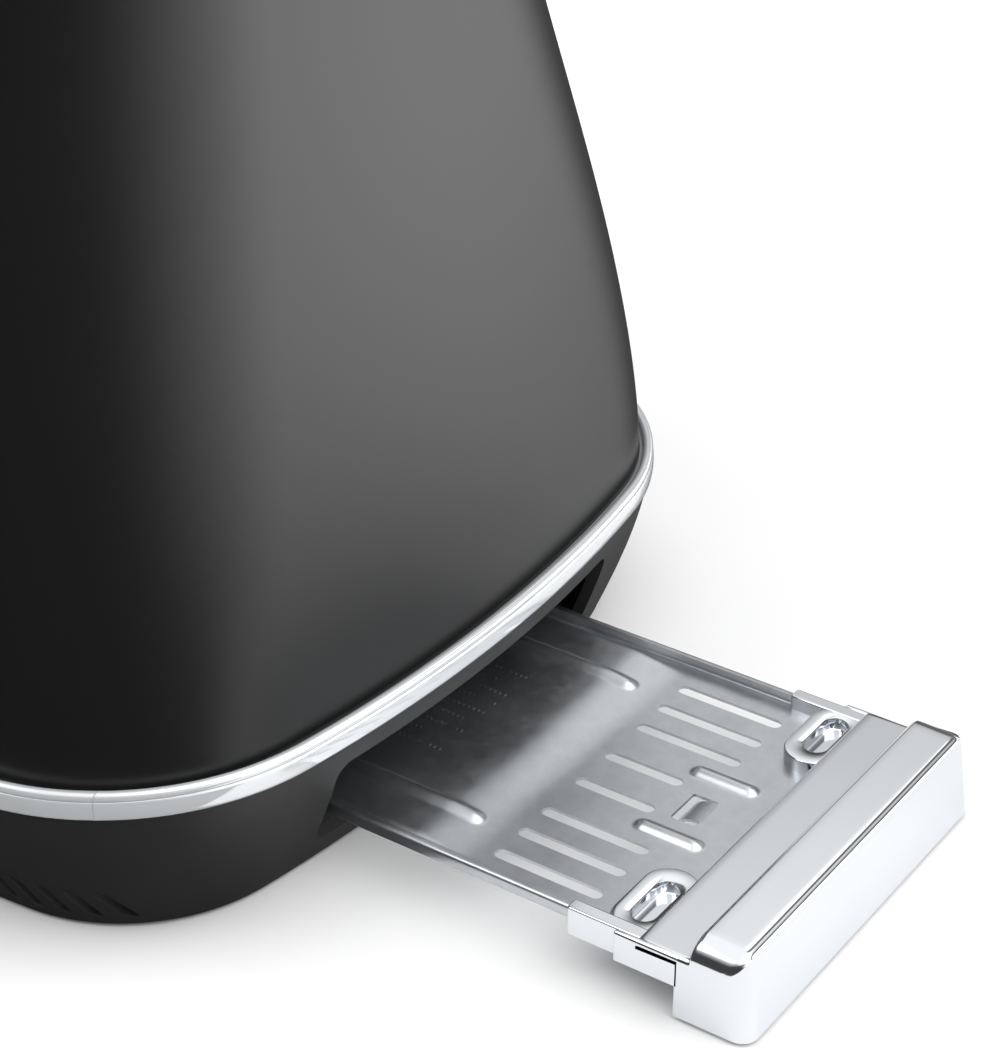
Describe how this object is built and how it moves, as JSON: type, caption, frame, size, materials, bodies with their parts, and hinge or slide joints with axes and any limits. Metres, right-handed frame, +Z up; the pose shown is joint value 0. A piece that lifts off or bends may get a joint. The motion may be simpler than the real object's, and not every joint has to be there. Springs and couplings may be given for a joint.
{
  "type": "pop up toaster",
  "caption": "Two-slot pop-up toaster with a tapered painted housing, a chrome band, a pop-up carriage and a pull-out crumb tray with a chrome handle.",
  "frame": {"origin": "on the surface the toaster stands on, below the middle of its housing", "axes": "+Z up, +X out of the end that the crumb tray slides from, -X the end with the controls"},
  "size_m": [0.3757, 0.186, 0.201],
  "materials": {
    "base_plinth": "matte",
    "base_plate": "galvanised",
    "rubber_feet": "matte",
    "base_screws": "satin",
    "tray_rails": "galvanised",
    "cord_gland": "gloss",
    "chrome_band": "mirror",
    "body_shell": "satin",
    "slot_surround": "polished",
    "chassis_plate": "galvanised",
    "front_end_plate": "galvanised",
    "rear_end_plate": "galvanised",
    "reflector_left": "polished",
    "reflector_right": "polished",
    "heater_board_left": "matte",
    "heater_board_right": "matte",
    "heater_board_centre": "matte",
    "heater_ribbon_left": "satin",
    "heater_ribbon_right": "satin",
    "heater_ribbon_centre": "satin",
    "guide_rods": "polished",
    "rod_bracket": "galvanised",
    "carriage": "galvanised",
    "bread_rest_left": "polished",
    "bread_rest_right": "polished",
    "lever_knob": "gloss",
    "lift_spring": "satin",
    "magnet_keeper": "satin",
    "magnet_coil": "satin",
    "magnet_core": "satin",
    "guard_left_outer": "satin",
    "guard_left_inner": "satin",
    "guard_right_inner": "satin",
    "guard_right_outer": "satin",
    "crumb_tray": "galvanised",
    "tray_handle": "mirror",
    "control_panel": "gloss",
    "dial_ring": "mirror",
    "browning_knob": "mirror",
    "knob_shaft": "matte",
    "potentiometer": "matte",
    "reheat_button": "mirror",
    "cancel_button": "mirror",
    "defrost_button": "mirror",
    "tact_switches": "matte",
    "control_board": "satin",
    "board_frame": "matte",
    "board_screws": "satin",
    "power_relay": "gloss",
    "capacitors": "matte",
    "control_chip": "gloss",
    "terminal_block": "matte",
    "bus_strips": "satin"
  },
  "bodies": {
    "housing": {"base_plinth": "base_plinth", "base_plate": "base_plate", "rubber_feet": "rubber_feet", "base_screws": "base_screws", "tray_rails": "tray_rails", "cord_gland": "cord_gland", "chrome_band": "chrome_band", "body_shell": "body_shell", "slot_surround": "slot_surround", "chassis_plate": "chassis_plate", "front_end_plate": "front_end_plate", "rear_end_plate": "rear_end_plate", "reflector_left": "reflector_left", "reflector_right": "reflector_right", "heater_board_left": "heater_board_left", "heater_board_right": "heater_board_right", "heater_board_centre": "heater_board_centre", "heater_ribbon_left": "heater_ribbon_left", "heater_ribbon_right": "heater_ribbon_right", "heater_ribbon_centre": "heater_ribbon_centre", "guide_rods": "guide_rods", "rod_bracket": "rod_bracket", "lift_spring": "lift_spring", "magnet_coil": "magnet_coil", "magnet_core": "magnet_core", "control_panel": "control_panel", "dial_ring": "dial_ring", "potentiometer": "potentiometer", "tact_switches": "tact_switches", "control_board": "control_board", "board_frame": "board_frame", "board_screws": "board_screws", "power_relay": "power_relay", "capacitors": "capacitors", "control_chip": "control_chip", "terminal_block": "terminal_block", "bus_strips": "bus_strips"},
    "carriage": {"carriage": "carriage", "bread_rest_left": "bread_rest_left", "bread_rest_right": "bread_rest_right", "lever_knob": "lever_knob", "magnet_keeper": "magnet_keeper"},
    "left_outer_guard": {"guard_left_outer": "guard_left_outer"},
    "left_inner_guard": {"guard_left_inner": "guard_left_inner"},
    "right_inner_guard": {"guard_right_inner": "guard_right_inner"},
    "right_outer_guard": {"guard_right_outer": "guard_right_outer"},
    "tray": {"crumb_tray": "crumb_tray", "tray_handle": "tray_handle"},
    "knob": {"browning_knob": "browning_knob", "knob_shaft": "knob_shaft"},
    "reheat": {"reheat_button": "reheat_button"},
    "cancel": {"cancel_button": "cancel_button"},
    "defrost": {"defrost_button": "defrost_button"}
  },
  "joints": [
    {"name": "carriage_slide", "type": "slide", "parent": "housing", "child": "carriage", "axis": [0, 0, 1], "range_m": [-0.058, 0], "stiffness_N_per_m": 60, "springref_m": 0.06, "deforming": ["lift_spring"]},
    {"name": "left_outer_guard_turn", "type": "hinge", "parent": "housing", "child": "left_outer_guard", "pos_m": [0, -0.0425, 0.038], "axis": [-1, 0, 0], "range_deg": [0, 2.81]},
    {"name": "left_inner_guard_turn", "type": "hinge", "parent": "housing", "child": "left_inner_guard", "pos_m": [0, -0.0095, 0.038], "axis": [1, 0, 0], "range_deg": [0, 2.81]},
    {"name": "right_inner_guard_turn", "type": "hinge", "parent": "housing", "child": "right_inner_guard", "pos_m": [0, 0.0095, 0.038], "axis": [-1, 0, 0], "range_deg": [0, 2.81]},
    {"name": "right_outer_guard_turn", "type": "hinge", "parent": "housing", "child": "right_outer_guard", "pos_m": [0, 0.0425, 0.038], "axis": [1, 0, 0], "range_deg": [0, 2.81]},
    {"name": "tray_slide", "type": "slide", "parent": "housing", "child": "tray", "axis": [1, 0, 0], "range_m": [-0.067, 0.15]},
    {"name": "browning_turn", "type": "hinge", "parent": "housing", "child": "knob", "pos_m": [-0.145, 0, 0.062], "axis": [-1, 0, 0], "range_deg": [-135, 135]},
    {"name": "reheat_press", "type": "slide", "parent": "housing", "child": "reheat", "axis": [1, 0, 0], "range_m": [0, 0.0015], "stiffness_N_per_m": 400, "springref_m": -0.001},
    {"name": "cancel_press", "type": "slide", "parent": "housing", "child": "cancel", "axis": [1, 0, 0], "range_m": [0, 0.0015], "stiffness_N_per_m": 400, "springref_m": -0.001},
    {"name": "defrost_press", "type": "slide", "parent": "housing", "child": "defrost", "axis": [1, 0, 0], "range_m": [0, 0.0015], "stiffness_N_per_m": 400, "springref_m": -0.001}
  ],
  "couplings": [
    {"joint": "left_outer_guard_turn", "follows": "carriage_slide", "rad_per_m": -0.84257},
    {"joint": "left_inner_guard_turn", "follows": "carriage_slide", "rad_per_m": -0.84257},
    {"joint": "right_inner_guard_turn", "follows": "carriage_slide", "rad_per_m": -0.84257},
    {"joint": "right_outer_guard_turn", "follows": "carriage_slide", "rad_per_m": -0.84257}
  ]
}
